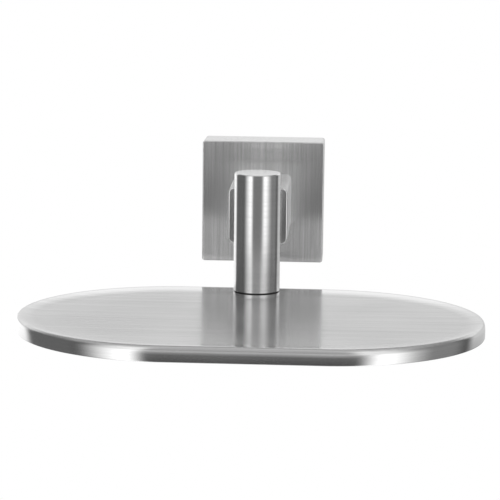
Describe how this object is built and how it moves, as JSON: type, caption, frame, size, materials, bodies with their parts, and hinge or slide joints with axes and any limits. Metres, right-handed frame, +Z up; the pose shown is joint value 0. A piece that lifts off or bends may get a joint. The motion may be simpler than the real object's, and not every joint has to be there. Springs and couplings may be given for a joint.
{
  "type": "soap holder",
  "caption": "Wall-mounted soap holder: a square rosette, a squared arm and a round post carry a shallow oval dish with a rolled rim, in brushed stainless steel.",
  "frame": {"origin": "middle of the bracket's back, on the wall", "axes": "+X to the right along the dish, +Y into the wall, +Z up; the object stands out towards -Y"},
  "size_m": [0.1522, 0.143, 0.0523],
  "materials": {
    "brushed_steel": "stainless steel with a fine directional brush, softly shiny",
    "bracket_steel": "plain mill-finish stainless steel",
    "hardware_steel": "bright machined stainless steel",
    "gasket_rubber": "matt black rubber"
  },
  "bodies": {
    "holder": {"wall_bracket": "bracket_steel", "rosette": "brushed_steel", "arm": "brushed_steel", "dowel_left": "hardware_steel", "dowel_right": "hardware_steel", "plain_washer": "bracket_steel", "spring_washer": "hardware_steel", "tie_bolt": "hardware_steel", "post": "brushed_steel", "foot_gasket": "gasket_rubber", "dish": "brushed_steel", "dish_washer": "bracket_steel", "dish_screw": "hardware_steel", "foot_pin": "hardware_steel"},
    "lock": {"set_screw": "hardware_steel"}
  },
  "joints": [
    {"name": "set_screw_travel", "type": "slide", "parent": "holder", "child": "lock", "axis": [0, 0, -1], "range_m": [0, 0.0026]}
  ]
}
